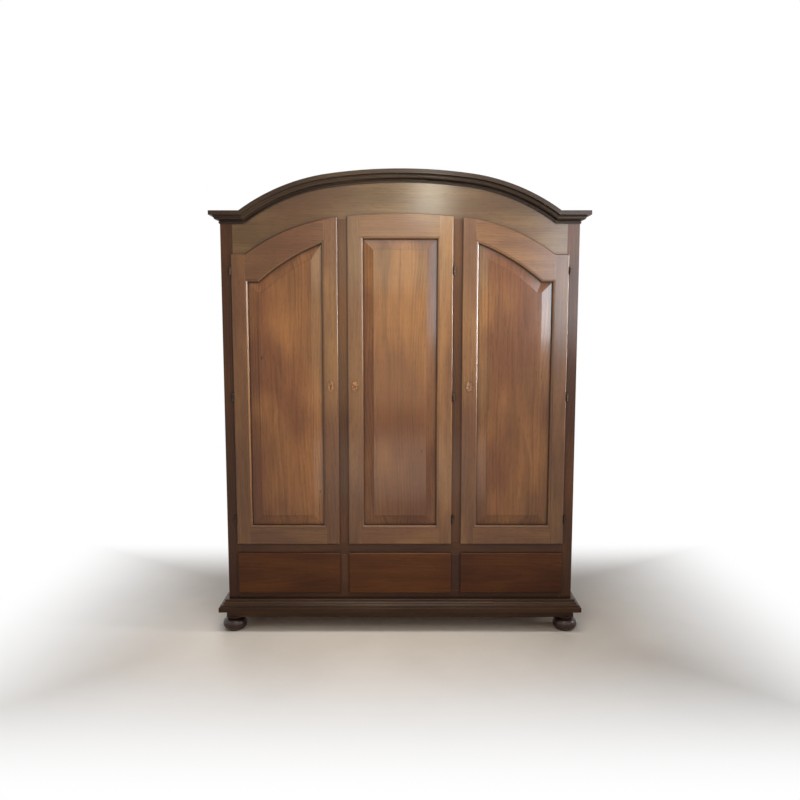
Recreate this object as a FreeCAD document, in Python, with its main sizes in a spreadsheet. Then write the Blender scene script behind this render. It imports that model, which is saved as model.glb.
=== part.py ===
import FreeCAD, Part
import math
import os
import re
import Sketcher

# A three-door wardrobe with an arched cornice, three drawers and a base on turned bun feet.
# Millimetres. X runs to the viewer's right, the doors face -Y and Z is up. The origin is on the
# floor, under the middle of the bounding box.

SIZES = {
    # The carcass without its mouldings
    "body_width": 1700,
    "body_depth": 600,
    "body_bottom": 163,
    "body_top": 2050,
    "moulding_reach": 45,
    # What shows of the frame beside and between the doors and drawers
    "side_reveal": 48,
    "mid_reveal": 44.5,
    "bottom_reveal": 29,
    "drawer_height": 205,
    "rail_reveal": 44,
    # Lipped doors and drawer fronts
    "lip_overlap": 10,
    "lip_thickness": 9,
    "lip_gap": 0.3,
    "edge_gap": 2,
    "inset_thickness": 14,
    "lip_round": 5,
    # The three-centred arch of the head and its cornice, with a level end each side of it
    "crown_radius": 2450,
    "crown_half": 330,
    "haunch_radius": 950,
    "level_end_length": 96.7,
    "cornice_height": 57,
    "head_drop": 141,
    # Timber of the carcass
    "frame_thickness": 22,
    "post_depth": 40,
    "rear_post_depth": 60,
    "side_rail_height": 100,
    "side_panel_thickness": 10,
    "side_panel_recess": 7,
    "side_groove": 8,
    "board_thickness": 18,
    "back_thickness": 8,
    "back_rebate": 10,
    # Base and feet
    "apron_bottom": 70,
    "apron_out": 12,
    "apron_thickness": 18,
    "base_moulding_height": 57,
    "block_size": 100,
    "foot_radius": 59,
    "foot_inset": 22,
    "rear_foot_inset": 62,
    "spigot_radius": 11,
    "spigot_height": 40,
    # Framed doors
    "stile_width": 77,
    "bottom_rail_height": 96,
    "middle_head_height": 121,
    "low_head_height": 132,
    "low_head_length": 53,
    "inner_head_height": 112.6,
    "panel_head_radius": 943.5,
    "sticking_width": 13,
    "sticking_round": 10,
    "quirk_depth": 1.5,
    "tongue_depth": 8,
    "tongue_thickness": 6,
    "tongue_back": 3,
    "bevel_width": 48,
    "bevel_rise": 7,
    "field_step": 1.5,
    # Loose-joint hinges: the lower knuckle and its pin on the frame, the upper one on the door
    "hinge_low": 125,
    "hinge_pitch": 604,
    "knuckle_radius": 5,
    "knuckle_height": 18,
    "knuckle_gap": 1,
    "knuckle_split": 0.3,
    "pin_radius": 2.5,
    "pin_gap": 0.05,
    "pin_tip": 2,
    "leaf_thickness": 2,
    "leaf_depth": 20,
    # Locks and their plates
    "keyhole_height": 782,
    "keyhole_in": 36,
    "key_radius": 3.5,
    "key_slot_width": 3.2,
    "key_slot_drop": 13,
    "plate_half_width": 15.5,
    "plate_half_height": 25.5,
    "plate_thickness": 1.5,
    "plate_rim": 3,
    "plate_rim_height": 1.2,
    "case_width": 50,
    "case_height": 70,
    "case_thickness": 12,
    "bolt_length": 24,
    "bolt_height": 20,
    "bolt_thickness": 8,
    "bolt_gap": 0.3,
    "bolt_throw": 9,
    "mortise_gap": 1,
    # Drawer boxes and their guides
    "box_thickness": 12,
    "box_height": 160,
    "box_length": 540,
    "box_bottom_thickness": 6,
    "box_bottom_lift": 8,
    "run_gap": 0.3,
    "guide_height": 30,
    # Shelves and hanging rail
    "shelf_setback": 22,
    "cleat_height": 20,
    "rail_radius": 12.5,
    "rail_wall": 1.5,
    "rail_drop": 110,
    "rail_back": 20,
    "socket_radius": 24,
    "socket_collar": 17,
    "socket_flange": 3,
    "socket_length": 14,
    "socket_gap": 0.1,
    # What every cutting shape runs past the piece it cuts
    "cut_overrun": 5,
}

SHELF_COUNT = 4
BACK_BOARD_COUNT = 6
HINGE_COUNT = 3
ROUND_STEPS = 6

# Sections as rows of outward share, upward share and bow: the height of the arc that leads to
# the point as a share of its chord, 0 for a straight run.
CORNICE_SHARES = [
    (0, 0, 0),
    (0.07, 0, 0),
    (0.07, 0.02, 0),
    (0.07, 0.16, 0.30),
    (0.05, 0.16, 0),
    (0.05, 0.20, 0),
    (0.30, 0.30, -0.20),
    (0.52, 0.46, 0.24),
    (0.57, 0.46, 0),
    (0.57, 0.51, 0),
    (0.93, 0.65, -0.24),
    (1, 0.65, 0),
    (1, 0.95, 0),
    (0.95, 1, 0.20),
    (0, 1, 0),
]
BASE_SHARES = [
    (0, 0, 0),
    (1, 0, 0),
    (1, 0.36, 0),
    (0.95, 0.41, 0.20),
    (0.76, 0.45, 0),
    (0.76, 0.52, 0),
    (0.62, 0.57, 0.20),
    (0.40, 0.66, -0.14),
    (0.17, 0.82, 0.20),
    (0.17, 0.92, 0),
    (0.10, 1, 0.20),
    (0, 1, 0),
]
# The foot from its pad up to its collar: share of its radius, share of its height and bow
FOOT_SHARES = [
    (0.62, 0, 0),
    (1, 0.45, 0.16),
    (0.62, 0.88, 0.18),
    (0.58, 0.91, 0),
    (0.72, 0.93, 0),
    (0.72, 1, 0),
]

# Places worked out from the sizes
PLACES = {
    "half_width": "body_width / 2",
    "back_face": "(body_depth + moulding_reach) / 2",
    "front_face": "back_face - body_depth",
    "door_width": "(body_width - 2 * side_reveal - 2 * mid_reveal) / 3",
    "door_pitch": "door_width + mid_reveal",
    "drawer_low": "body_bottom + bottom_reveal",
    "drawer_high": "drawer_low + drawer_height",
    "door_low": "drawer_high + rail_reveal",
    "post_inner": "half_width - side_reveal - lip_overlap",
    "mid_centre": "door_pitch / 2",
    "mid_half": "mid_reveal / 2 + lip_overlap",
    "frame_back": "front_face + frame_thickness",
    "post_back": "front_face + post_depth",
    "side_inner": "half_width - frame_thickness",
    "panel_inner": "half_width - side_panel_recess - side_panel_thickness",
    "rear_post_front": "back_face - rear_post_depth",
    "back_front": "back_face - back_thickness",
    "drawer_floor": "drawer_low + lip_overlap",
    "drawer_ceiling": "drawer_high - lip_overlap",
    "door_floor": "door_low + lip_overlap",
    "door_ceiling": "body_top - board_thickness",
    "partition_half": "board_thickness / 2",
    "lip_back": "front_face - lip_gap",
    "lip_front": "lip_back - lip_thickness",
    "door_back": "front_face + inset_thickness",
    "inset_half": "door_width / 2 - lip_overlap - edge_gap",
    "hinge_line": "front_face - knuckle_gap - knuckle_radius",
    "hinge_out": "door_width / 2 + knuckle_gap + knuckle_radius",
    "key_level": "door_low + keyhole_height",
    "case_front": "door_back - case_thickness",
    "bolt_middle": "door_back - case_thickness / 2",
    "tongue_front": "door_back - tongue_back - tongue_thickness",
    "apron_face": "half_width + apron_out",
    "apron_front": "front_face - apron_out",
    "apron_inner": "apron_face - apron_thickness",
    "apron_front_back": "apron_front + apron_thickness",
    "apron_rear_front": "back_face - apron_thickness",
    "base_reach": "moulding_reach - apron_out",
    "base_moulding_low": "body_bottom - base_moulding_height",
    "foot_side": "half_width - foot_inset",
    "foot_front": "front_face + foot_inset",
    "foot_rear": "back_face - rear_foot_inset",
    "haunch_side": "crown_half * (1 - haunch_radius / crown_radius)",
    "mitre_high": "half_width - level_end_length",
    "haunch_level": "body_top - sqrt(haunch_radius^2 - (mitre_high - haunch_side)^2)",
    "crown_level": "haunch_level - (crown_radius - haunch_radius)"
                   " * sqrt(1 - (crown_half / crown_radius)^2)",
    "crown_top": "crown_level + crown_radius",
    "ends_low": "body_top - cornice_height",
    "mitre_low": "haunch_side + sqrt((haunch_radius - cornice_height)^2 - (ends_low - haunch_level)^2)",
    "head_low": "ends_low - head_drop",
    "head_high": "crown_top - cornice_height - head_drop",
    "rail_level": "door_ceiling - rail_drop",
    "shelf_pitch": "(door_ceiling - door_floor) / shelf_spaces",
}

doc = FreeCAD.newDocument("wardrobe")
sheet = doc.addObject("Spreadsheet::Sheet", "sizes")
for row, (alias, size) in enumerate([*SIZES.items(), ("shelf_spaces", SHELF_COUNT + 1)], start=1):
    sheet.set(f"A{row}", str(size))
    sheet.setAlias(f"A{row}", alias)
doc.recompute()


def full(text):
    """Write each bare name of a size or a place in an expression as its cell or property."""
    def owner(found):
        return ("places." if found[0] in PLACES else "sizes.") + found[0]
    return re.sub(r"[a-z]+(?:_[a-z]+)+", owner, str(text))


places = doc.addObject("App::VarSet", "places")
for alias, text in PLACES.items():
    places.addProperty("App::PropertyFloat", alias)
    places.setExpression(alias, full(text))
doc.recompute()

nodes = []


def value(text):
    """The number that an expression has now."""
    return float(places.evalExpression(full(text)))


def bind(item, target, text):
    """Tie one property of an item to an expression."""
    item.setExpression(target, full(text))


def node(item):
    """Hand a finished item in as a sub-part of its own."""
    item.Label = item.Name
    nodes.append(item)
    return item


def box(name, across, deep, high):
    """A board between three pairs of planes, each pair from low to high."""
    item = doc.addObject("Part::Box", name)
    for axis, size, (low, top) in zip("xyz", ("Length", "Width", "Height"), (across, deep, high)):
        bind(item, size, f"({top}) - ({low})")
        bind(item, f"Placement.Base.{axis}", low)
    return item


def rod(name, radius, length, foot, turn=FreeCAD.Rotation()):
    """A cylinder that stands on a point, upright unless it is turned."""
    item = doc.addObject("Part::Cylinder", name)
    bind(item, "Radius", radius)
    bind(item, "Height", length)
    item.Placement = FreeCAD.Placement(FreeCAD.Vector(), turn)
    for axis, text in zip("xyz", foot):
        bind(item, f"Placement.Base.{axis}", text)
    return item


def group(name, items):
    """Pieces that stay separate solids under one name."""
    item = doc.addObject("Part::Compound", name)
    item.Links = items
    return item


def fuse(name, items):
    item = doc.addObject("Part::MultiFuse", name)
    item.Shapes = items
    return item


def cut(name, base, tools):
    item = doc.addObject("Part::Cut", name)
    item.Base = base
    item.Tool = tools[0] if len(tools) == 1 else group(name + "_tools", tools)
    return item


def mirror(name, source):
    """The same piece on the other side of the middle."""
    item = doc.addObject("Part::Mirroring", name)
    item.Source = source
    item.Normal = (1, 0, 0)
    return item


def shaped(name, shape):
    """A piece whose shape is worked out here from the sheet."""
    item = doc.addObject("Part::Feature", name)
    item.Shape = shape
    item.Placement = FreeCAD.Placement()
    return item


def sided(sign, inner, outer):
    """The low and high plane of a piece on the left or the right of the middle."""
    return (inner, outer) if sign > 0 else (f"-({outer})", f"-({inner})")


def around(middle, half):
    """The low and high plane of a piece about a middle."""
    return f"({middle}) - ({half})", f"({middle}) + ({half})"


def outline(corners):
    """Lines and arcs through corners given as across, up and bow; the last leads to the first.

    A positive bow bulges to the right of the way that the outline runs."""
    edges = []
    for index, (across, up, bow) in enumerate(corners):
        start = FreeCAD.Vector(corners[index - 1][0], corners[index - 1][1], 0)
        end = FreeCAD.Vector(across, up, 0)
        if bow == 0:
            edges.append((Part.LineSegment(start, end), False))
            continue
        chord = end - start
        side = FreeCAD.Vector(chord.y, -chord.x, 0).normalize()
        height = bow * chord.Length
        radius = (chord.Length ** 2 / 4 + height ** 2) / (2 * abs(height))
        centre = (start + end) / 2 + side * (height - math.copysign(radius, bow))
        first, last = (start, end) if bow > 0 else (end, start)
        angles = [math.atan2(point.y - centre.y, point.x - centre.x) for point in (first, last)]
        circle = Part.Circle(centre, FreeCAD.Vector(0, 0, 1), radius)
        edges.append((Part.ArcOfCircle(circle, angles[0], angles[1]), bow < 0))
    return edges


def sketch(body, name, role, *outlines):
    """Closed outlines on an origin plane of a body, with every corner tied to expressions."""
    drawing = body.newObject("Sketcher::SketchObject", name)
    plane = next(item for item in body.Origin.OriginFeatures if item.Role == role)
    drawing.AttachmentSupport = [(plane, "")]
    drawing.MapMode = "FlatFace"
    for corners in outlines:
        edges = outline([(value(across), value(up), bow) for across, up, bow in corners])
        geometry = [drawing.addGeometry(edge) for edge, _ in edges]
        heads = [1 if backwards else 2 for _, backwards in edges]
        for index, (across, up, bow) in enumerate(corners):
            after = (index + 1) % len(corners)
            drawing.addConstraint(Sketcher.Constraint(
                "Coincident", geometry[index], heads[index], geometry[after], 3 - heads[after]))
            for kind, text in (("DistanceX", across), ("DistanceY", up)):
                tie = drawing.addConstraint(Sketcher.Constraint(
                    kind, -1, 1, geometry[index], heads[index], value(text)))
                drawing.setExpression(f"Constraints[{tie}]", full(text))
            if bow:
                before = corners[index - 1]
                chord = f"hypot(({across}) - ({before[0]}); ({up}) - ({before[1]}))"
                swell = 1 / (8 * abs(bow)) + abs(bow) / 2
                tie = drawing.addConstraint(Sketcher.Constraint(
                    "Radius", geometry[index], value(f"{chord} * {swell}")))
                drawing.setExpression(f"Constraints[{tie}]", full(f"{chord} * {swell}"))
    return drawing


def pad(body, drawing, length, both_ways=False):
    """Push an outline out into a solid."""
    item = body.newObject("PartDesign::Pad", body.Name + "_pad")
    item.Profile = drawing
    bind(item, "Length", length)
    item.SideType = "Symmetric" if both_ways else "One side"
    doc.recompute()
    return item


def pocket(body, name, drawing):
    """Cut an outline right through, on the side of its plane where the body is."""
    before = body.Shape.Volume
    item = body.newObject("PartDesign::Pocket", name)
    item.Profile = drawing
    item.Type = "ThroughAll"
    item.Reversed = True
    doc.recompute()
    if body.Shape.Volume >= before:
        raise RuntimeError(name + " removes nothing")
    return item


def prism(wire, front, back):
    """The solid behind a flat outline that faces the front."""
    face = Part.Face(wire)
    face.translate(FreeCAD.Vector(0, front - face.BoundBox.YMin, 0))
    return face.extrude(FreeCAD.Vector(0, back - front, 0))


def upright(points, depth=0):
    """A closed outline of straight lines through (x, z) points."""
    corners = [FreeCAD.Vector(x, depth, z) for x, z in points]
    return Part.makePolygon([*corners, corners[0]])


def arc(centre_x, centre_z, radius, first, last):
    """An arc in the front plane, by angles from straight up towards the right."""
    points = []
    for angle in (first, (first + last) / 2, last):
        points.append(FreeCAD.Vector(centre_x + radius * math.sin(angle), 0,
                                     centre_z + radius * math.cos(angle)))
    return Part.Arc(*points).toShape()


def arch(inset, drop, low):
    """The outline under the arch, inset from the cornice's top edge, lowered and closed at low."""
    overrun = value("cut_overrun")
    level = value("body_top") - inset - drop
    haunch = value("haunch_radius") - inset
    side = value("haunch_side")
    haunch_z = value("haunch_level") - drop
    turn = math.asin(value("crown_half / crown_radius"))
    spring = math.acos((level - haunch_z) / haunch)
    edges = [
        arc(-side, haunch_z, haunch, -spring, -turn),
        arc(0, value("crown_level") - drop, value("crown_radius") - inset, -turn, turn),
        arc(side, haunch_z, haunch, turn, spring),
    ]
    foot = side + haunch * math.sin(spring)
    wide = value("half_width") + overrun
    path = [(foot, level), (wide, level), (wide, low), (-wide, low), (-wide, level), (-foot, level)]
    points = [FreeCAD.Vector(x, 0, z) for x, z in path]
    return Part.Wire(Part.__sortEdges__([*edges, *Part.makePolygon(points).Edges]))


def slab(sign, inset, overlap, front, back):
    """One layer of a door blank: the arch's layer, cut to the door's width and foot."""
    low = value("door_low") + overlap
    head = prism(arch(value("cornice_height") + inset, value("head_drop"), low), front, back)
    middle = sign * value("door_pitch")
    half = value("door_width / 2") - overlap
    span = upright([(middle - half, low), (middle + half, low),
                    (middle + half, value("crown_top")), (middle - half, value("crown_top"))])
    return head.common(prism(span, front, back))


def head_at(across):
    """Level of the arch over the doors, so far from the middle."""
    inset = value("cornice_height")
    side, level, radius = value("haunch_side"), value("haunch_level"), value("haunch_radius")
    if across < value("crown_half") * (1 - inset / value("crown_radius")):
        side, level, radius = 0, value("crown_level"), value("crown_radius")
    return level - value("head_drop") + math.sqrt((radius - inset) ** 2 - (across - side) ** 2)


def opening(sign, grow):
    """Corners (x, z) of a door's panel opening, grown outwards, and the top of its arc.

    In an outer door the head is a short level end, from the third corner to the fourth, and an
    arc that climbs from there to the last corner, towards the middle of the wardrobe."""
    half = value("door_width / 2 - stile_width")
    low = value("door_low + bottom_rail_height") - grow
    if sign == 0:
        side = half + grow
        high = value("head_high - middle_head_height") + grow
        return [(-side, low), (side, low), (side, high), (-side, high)], None
    middle = value("door_pitch")
    radius = value("panel_head_radius")
    level = value("head_low - low_head_height")
    start = FreeCAD.Vector(middle + half - value("low_head_length"), 0, level)
    end = FreeCAD.Vector(middle - half, 0, head_at(middle - half) - value("inner_head_height"))
    chord = start - end
    below = FreeCAD.Vector(chord.z, 0, -chord.x).normalize()
    centre = (start + end) / 2 + below * math.sqrt(radius ** 2 - chord.Length ** 2 / 4)
    radius += grow
    inner = middle - half - grow
    outer = middle + half + grow
    turns = (math.acos((level + grow - centre.z) / radius), math.asin((inner - centre.x) / radius))
    knee, top, peak = [(centre.x + radius * math.sin(turn), centre.z + radius * math.cos(turn))
                       for turn in (turns[0], sum(turns) / 2, turns[1])]
    corners = [(inner, low), (outer, low), (outer, level + grow), knee, peak]
    return [(sign * x, z) for x, z in corners], (sign * top[0], top[1])


def opening_wire(sign, grow):
    """The panel opening as a closed wire in the front plane."""
    corners, top = opening(sign, grow)
    points = [FreeCAD.Vector(x, 0, z) for x, z in corners]
    edges = [Part.LineSegment(*pair).toShape() for pair in zip(points[:-2], points[1:-1])]
    if top:
        edges.append(Part.Arc(points[-2], FreeCAD.Vector(top[0], 0, top[1]), points[-1]).toShape())
    else:
        edges.append(Part.LineSegment(points[-2], points[-1]).toShape())
    edges.append(Part.LineSegment(points[-1], points[0]).toShape())
    return Part.Wire(edges)


def rounded(shape, radius, level):
    """Round the edges of a shape that lie in one plane of depth."""
    near = value("lip_gap") / 2
    edges = [edge for edge in shape.Edges
             if abs(edge.BoundBox.YMin - level) < near and abs(edge.BoundBox.YMax - level) < near]
    return shape.makeFillet(radius, edges)


def moulded_edge(sign, front):
    """What a door frame loses at its rounded inner edge: rings that shrink to the opening."""
    radius = value("sticking_round")
    rings = [(radius, front - value("quirk_depth"))]
    for step in range(ROUND_STEPS + 1):
        turn = math.pi / 2 * step / ROUND_STEPS
        rings.append((radius * (1 - math.sin(turn)), front + radius * (1 - math.cos(turn))))
    wires = []
    for grow, depth in rings:
        wire = opening_wire(sign, grow)
        wire.translate(FreeCAD.Vector(0, depth, 0))
        wires.append(wire)
    return Part.makeLoft(wires, True, True)


def stile_region(sign, low_corner, high_corner):
    """The part of a door frame that one stile takes, mitred at the moulded edge."""
    bare, moulded = opening(sign, 0)[0], opening(sign, value("sticking_width"))[0]
    far = math.copysign(value("door_width"), bare[low_corner][0] - sign * value("door_pitch"))
    edge = bare[low_corner][0] + far
    points = [
        (edge, value("body_bottom")),
        (moulded[low_corner][0], value("body_bottom")),
        moulded[low_corner],
        bare[low_corner],
        bare[high_corner],
        moulded[high_corner],
        (moulded[high_corner][0], value("crown_top")),
        (edge, value("crown_top")),
    ]
    overrun = value("cut_overrun")
    return prism(upright(points), value("lip_front") - overrun, value("door_back") + overrun)


# Base: four boards on edge, blocks in their corners, a moulding round three sides and four feet

blocks = []
bores = []
for end, deep, axis in (
        ("front", ("apron_front_back", "apron_front_back + block_size"), "foot_front"),
        ("rear", ("apron_rear_front - block_size", "apron_rear_front"), "foot_rear")):
    for side, sign in (("left", -1), ("right", 1)):
        place = sided(sign, "apron_inner - block_size", "apron_inner")
        blocks.append(box(f"{end}_{side}_block", place, deep, ("apron_bottom", "body_bottom")))
        bores.append(rod(f"{end}_{side}_block_bore", "spigot_radius", "spigot_height",
                         (f"{sign} * foot_side", axis, "apron_bottom")))
        foot = doc.addObject("PartDesign::Body", f"foot_{end}_{side}")
        rows = [(f"{out} * foot_radius", f"{up} * apron_bottom", bow) for out, up, bow in FOOT_SHARES]
        rows += [("spigot_radius", "apron_bottom", 0),
                 ("spigot_radius", "apron_bottom + spigot_height", 0),
                 ("0", "apron_bottom + spigot_height", 0), ("0", "0", 0)]
        turning = foot.newObject("PartDesign::Revolution", foot.Name + "_turning")
        turning.Profile = sketch(foot, foot.Name + "_profile", "XZ_Plane", rows)
        turning.ReferenceAxis = (turning.Profile[0], ["V_Axis"])
        turning.Angle = 360
        bind(foot, "Placement.Base.x", f"{sign} * foot_side")
        bind(foot, "Placement.Base.y", axis)
        node(foot)
node(cut("base_corner_blocks", group("block_blanks", blocks), bores))

apron_high = ("apron_bottom", "body_bottom")
node(group("base_long_boards", [
    box("base_front_board", ("-apron_face", "apron_face"), ("apron_front", "apron_front_back"), apron_high),
    box("base_back_board", ("-apron_face", "apron_face"), ("apron_rear_front", "back_face"), apron_high),
]))
node(group("base_side_boards", [
    box(f"base_{side}_board", sided(sign, "apron_inner", "apron_face"),
        ("apron_front_back", "apron_rear_front"), apron_high)
    for side, sign in (("left", -1), ("right", 1))
]))


def section(shares, across, reach, up, height):
    """A moulding's section as sketch corners; across and reach say where outwards leads."""
    turned = -1 if reach.startswith("-") else 1
    return [(f"{across} + {out} * ({reach})", f"{up} + {rise} * {height}", turned * bow)
            for out, rise, bow in shares]


def mitre(out):
    """Plan of what a front moulding loses at its right corner, or what a side one does at -1."""
    corner = ("half_width - cut_overrun", "front_face + cut_overrun", 0)
    tip = ("half_width + moulding_reach + cut_overrun", "front_face - moulding_reach - cut_overrun", 0)
    if out > 0:
        return [corner, tip, (tip[0], corner[1], 0)]
    return [corner, tip, (corner[0], tip[1], 0)]


base_low = ("base_moulding_low", "base_moulding_height")
front = doc.addObject("PartDesign::Body", "base_moulding_front")
pad(front, sketch(front, "base_front_section", "YZ_Plane",
                  section(BASE_SHARES, "apron_front", "-base_reach", *base_low)),
    "body_width + 2 * moulding_reach", both_ways=True)
left_mitre = [(f"-({across})", up, bow) for across, up, bow in mitre(1)]
pocket(front, "base_front_mitres", sketch(front, "base_front_mitre_plan", "XY_Plane", mitre(1), left_mitre))
node(front)

side = doc.addObject("PartDesign::Body", "base_moulding_right")
pad(side, sketch(side, "base_side_section", "XZ_Plane",
                 section(BASE_SHARES, "apron_face", "base_reach", *base_low)),
    "body_depth + moulding_reach", both_ways=True)
pocket(side, "base_side_mitre", sketch(side, "base_side_mitre_plan", "XY_Plane", mitre(-1)))
node(group("base_moulding_sides", [side, mirror("base_moulding_left", side)]))

# Cornice: an arched run, a level end each side of it and a return along each side

ends_high = ("ends_low", "cornice_height")
end = doc.addObject("PartDesign::Body", "cornice_right_end")
pad(end, sketch(end, "cornice_end_section", "YZ_Plane",
                section(CORNICE_SHARES, "front_face", "-moulding_reach", *ends_high)),
    "half_width + moulding_reach")
pocket(end, "cornice_end_mitre", sketch(end, "cornice_end_mitre_plan", "XY_Plane", mitre(1)))
lean = "(mitre_high - mitre_low) / cornice_height * cut_overrun"
pocket(end, "cornice_haunch_mitre", sketch(end, "cornice_haunch_mitre_view", "XZ_Plane", [
    ("-cut_overrun", "ends_low - cut_overrun", 0),
    (f"mitre_low - {lean}", "ends_low - cut_overrun", 0),
    (f"mitre_high + {lean}", "body_top + cut_overrun", 0),
    ("-cut_overrun", "body_top + cut_overrun", 0),
]))
node(group("cornice_ends", [end, mirror("cornice_left_end", end)]))

side = doc.addObject("PartDesign::Body", "cornice_right_return")
pad(side, sketch(side, "cornice_return_section", "XZ_Plane",
                 section(CORNICE_SHARES, "half_width", "moulding_reach", *ends_high)),
    "body_depth + moulding_reach", both_ways=True)
pocket(side, "cornice_return_mitre", sketch(side, "cornice_return_mitre_plan", "XY_Plane", mitre(-1)))
node(group("cornice_returns", [side, mirror("cornice_left_return", side)]))


def cornice_run(side, level, crown, first, last):
    """The cornice swept round one centre, from one angle off straight up to another."""
    rows = [(value("front_face") - out * value("moulding_reach"),
             crown - (1 - rise) * value("cornice_height"), -bow) for out, rise, bow in CORNICE_SHARES]
    face = Part.Face(Part.Wire([edge.toShape() for edge, _ in outline(rows)]))
    centre = FreeCAD.Vector(side, 0, level)
    turn = FreeCAD.Rotation(FreeCAD.Vector(1, 1, 1), 120)
    face.Placement = FreeCAD.Placement(FreeCAD.Vector(side, 0, 0), turn)
    across = FreeCAD.Vector(0, 1, 0)
    face.rotate(centre, across, math.degrees(first))
    return face.revolve(centre, across, math.degrees(last - first))


def arched_cornice():
    """Three runs that meet in line, cut off where they meet the level ends."""
    turn = math.asin(value("crown_half / crown_radius"))
    spring = math.acos(value("(ends_low - haunch_level) / haunch_radius"))
    crown = cornice_run(0, value("crown_level"), value("crown_top"), -turn, turn)
    haunch = cornice_run(value("haunch_side"), value("haunch_level"),
                         value("haunch_level + haunch_radius"), turn, spring)
    level_end = upright([(value(x), value(z)) for x, z in (
        (f"mitre_low - {lean}", "ends_low - cut_overrun"),
        (f"mitre_high + {lean}", "body_top + cut_overrun"),
        ("half_width + moulding_reach", "body_top + cut_overrun"),
        ("half_width + moulding_reach", "ends_low - cornice_height"),
        ("mitre_low", "ends_low - cornice_height"))])
    haunch = haunch.cut(prism(level_end, value("front_face - moulding_reach - cut_overrun"),
                              value("front_face + cut_overrun")))
    other = haunch.mirror(FreeCAD.Vector(), FreeCAD.Vector(1, 0, 0))
    return crown.fuse([haunch, other]).removeSplitter()


node(shaped("cornice_arch", arched_cornice()))

# Carcass frame


def frieze_shape():
    """A board between the posts, arched above with the cornice and below with the door heads."""
    front, back, overrun = value("front_face"), value("frame_back"), value("cut_overrun")
    half, low, high = value("post_inner"), value("body_bottom"), value("crown_top") + overrun
    span = prism(upright([(-half, low), (half, low), (half, high), (-half, high)]), front, back)
    below = arch(value("cornice_height + lip_overlap"), value("head_drop"), low - overrun)
    board = prism(arch(0, 0, low), front, back).common(span)
    return board.cut(prism(below, front - overrun, back + overrun))


frieze = node(shaped("frieze_board", frieze_shape()))

post_deep = ("front_face", "post_back")
front_blanks = [box(f"front_{name}_post", sided(sign, "post_inner", "half_width"), post_deep,
                    ("body_bottom", "body_top")) for name, sign in (("left", -1), ("right", 1))]
rear_blanks = [box(f"rear_{name}_post", sided(sign, "side_inner", "half_width"),
                   ("rear_post_front", "back_face"), ("body_bottom", "body_top"))
               for name, sign in (("left", -1), ("right", 1))]
side_rails = (
    ("low", "body_bottom", "body_bottom + side_rail_height"),
    ("middle", "door_floor - side_rail_height", "door_floor"),
    ("top", "body_top - side_rail_height", "body_top"),
)
rail_blanks = []
panels = []
for name, sign in (("left", -1), ("right", 1)):
    for height, low, high in side_rails:
        rail_blanks.append(box(f"{name}_{height}_side_rail", sided(sign, "side_inner", "half_width"),
                               ("post_back", "rear_post_front"), (low, high)))
    for below_rail, above_rail in zip(side_rails, side_rails[1:]):
        panels.append(box(f"{name}_panel_over_{below_rail[0]}_rail",
                          sided(sign, "panel_inner", "half_width - side_panel_recess"),
                          ("post_back - side_groove", "rear_post_front + side_groove"),
                          (f"{below_rail[2]} - side_groove", f"{above_rail[1]} + side_groove")))
side_panels = node(group("side_panels", panels))
node(cut("side_rails", group("side_rail_blanks", rail_blanks), [side_panels]))

back_boards = []
for index in range(BACK_BOARD_COUNT):
    edges = [f"(side_inner + back_rebate) * {2 * place / BACK_BOARD_COUNT - 1}"
             for place in (index, index + 1)]
    back_boards.append(box(f"back_board_{index + 1}", edges, ("back_front", "back_face"),
                           ("drawer_floor - board_thickness", "body_top")))
back = node(group("back_boards", back_boards))
node(cut("rear_posts", group("rear_post_blanks", rear_blanks), [side_panels, back]))

node(box("mid_rail", ("-post_inner", "post_inner"), ("front_face", "frame_back"),
         ("drawer_ceiling", "door_floor")))
node(box("bottom_rail", ("-post_inner", "post_inner"), ("front_face", "frame_back"),
         ("body_bottom", "drawer_floor")))
for name, high in (("bottom_board", "drawer_floor"), ("compartment_floor", "door_floor"),
                   ("top_board", "body_top")):
    blank = box(name + "_blank", ("-side_inner", "side_inner"), ("frame_back", "back_front"),
                (f"{high} - board_thickness", high))
    node(cut(name, blank, front_blanks))
node(group("drawer_dividers", [
    box(f"{name}_divider", around(f"{sign} * mid_centre", "mid_half"), ("front_face", "frame_back"),
        ("drawer_floor", "drawer_ceiling")) for name, sign in (("left", -1), ("right", 1))
]))

# Doors: where each one hangs and locks

DOORS = (("left", -1, -1), ("middle", 0, 1), ("right", 1, 1))


def hinge_rows(name, sign, hinge_side):
    """Names and places of a door's hinges: plan of the axis and the level where knuckles meet."""
    axis = f"{sign} * door_pitch + {hinge_side} * hinge_out"
    return [(f"{name}_hinge_{count + 1}", axis, f"door_low + hinge_low + {count} * hinge_pitch")
            for count in range(HINGE_COUNT)]


frame_leaves = []
frame_knuckles = []
frame_pins = []
for name, sign, hinge_side in DOORS:
    for hinge, axis, level in hinge_rows(name, sign, hinge_side):
        low = f"{level} - knuckle_height"
        foot = (axis, "hinge_line", low)
        frame_leaves.append(box(hinge + "_frame_leaf", around(axis, "leaf_thickness / 2"),
                                ("hinge_line", "front_face + leaf_depth"), (low, level)))
        frame_knuckles.append(rod(hinge + "_frame_knuckle", "knuckle_radius", "knuckle_height", foot))
        frame_pins.append(rod(hinge + "_pin", "pin_radius",
                              "2 * knuckle_height + knuckle_split + pin_tip", foot))
frame_hinges = node(fuse("frame_hinges", [*frame_leaves, *frame_knuckles, *frame_pins]))


def lock_side(sign, hinge_side, inwards):
    """A plane of a door's lock stile, so far in from the edge of its lip."""
    return f"{sign} * door_pitch - {hinge_side} * (door_width / 2 - ({inwards}))"


def lock_span(sign, hinge_side, outer, inner):
    """Low and high plane between two distances in from the lip's edge on the lock side."""
    planes = [lock_side(sign, hinge_side, inwards) for inwards in (outer, inner)]
    return tuple(planes if hinge_side > 0 else planes[::-1])


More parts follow.
